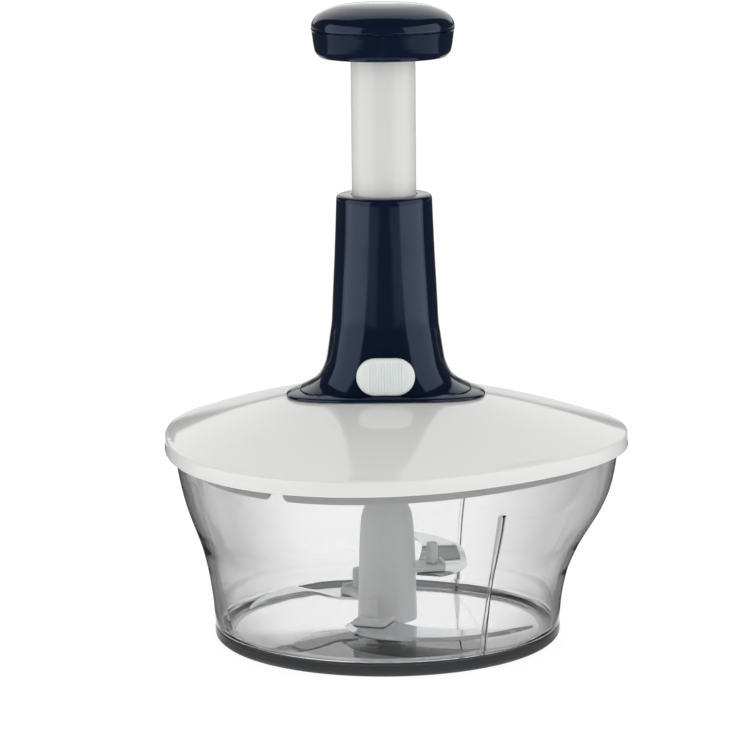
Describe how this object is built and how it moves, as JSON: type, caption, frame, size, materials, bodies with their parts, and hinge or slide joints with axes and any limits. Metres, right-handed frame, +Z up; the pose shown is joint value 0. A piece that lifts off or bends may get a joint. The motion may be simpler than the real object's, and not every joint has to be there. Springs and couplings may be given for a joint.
{
  "type": "plunger food chopper",
  "caption": "Hand food chopper: a push knob on a sprung plunger turns staggered sickle blades in a lobed clear bowl under a domed lid with a tower.",
  "frame": {"origin": "on the blade's axis, in the plane that the non-slip foot rests on", "axes": "+Z up along the blade's axis, towards the knob; the lock button faces -Y; +X is to the right of someone facing the button"},
  "size_m": [0.2084, 0.2098, 0.285],
  "materials": {
    "smoked_clear": "clear smoked polymer, polished",
    "white_plastic": "glossy moulded",
    "off_white_plastic": "satin moulded",
    "navy_plastic": "high gloss moulded",
    "grey_nylon": "satin moulded",
    "elastomer": "satin",
    "steel": "polished",
    "bronze": "sintered"
  },
  "bodies": {
    "bowl": {"bowl": "smoked_clear", "pivot_pin": "steel", "nonslip_foot": "elastomer"},
    "lid": {"lid_shell": "white_plastic", "inner_cover": "white_plastic", "cover_screw_1": "steel", "cover_screw_2": "steel", "cover_screw_3": "steel", "tower_housing": "navy_plastic", "plunger_guide": "grey_nylon", "drive_housing": "grey_nylon", "return_spring": "steel"},
    "plunger": {"plunger_tube": "white_plastic", "knob_base": "navy_plastic", "knob_cap": "navy_plastic", "knob_screw": "steel", "drive_rod": "steel"},
    "nut": {"drive_nut": "grey_nylon"},
    "coupling": {"drive_coupling": "grey_nylon"},
    "blade_unit": {"blade_hub": "grey_nylon", "hub_bush": "bronze", "lower_blade": "steel", "middle_blade": "steel", "upper_blade": "steel", "lower_peg": "grey_nylon", "middle_peg": "grey_nylon", "upper_peg": "grey_nylon"},
    "lock": {"lock_button": "off_white_plastic", "lock_catch": "grey_nylon"}
  },
  "joints": [
    {"name": "lid_lift", "type": "slide", "parent": "bowl", "child": "lid", "axis": [0, 0, 1], "range_m": [0, 0.12]},
    {"name": "plunger_slide", "type": "slide", "parent": "lid", "child": "plunger", "axis": [0, 0, -1], "range_m": [0, 0.058], "stiffness_N_per_m": 180, "springref_m": -0.05, "deforming": ["return_spring"]},
    {"name": "nut_spin", "type": "hinge", "parent": "lid", "child": "nut", "pos_m": [0, 0, 0.1], "axis": [0, 0, 1], "range_deg": [-436, 0]},
    {"name": "coupling_spin", "type": "hinge", "parent": "lid", "child": "coupling", "pos_m": [0, 0, 0.08], "axis": [0, 0, 1], "continuous": true},
    {"name": "blade_spin", "type": "hinge", "parent": "bowl", "child": "blade_unit", "pos_m": [0, 0, 0.01], "axis": [0, 0, 1], "continuous": true},
    {"name": "lock_slide", "type": "slide", "parent": "lid", "child": "lock", "axis": [1, 0, 0], "range_m": [0, 0.006]}
  ],
  "couplings": [
    {"joint": "nut_spin", "follows": "plunger_slide", "rad_per_m": -130.9},
    {"joint": "coupling_spin", "follows": "plunger_slide", "rad_per_m": -130.9},
    {"joint": "blade_spin", "follows": "plunger_slide", "rad_per_m": -130.9}
  ]
}
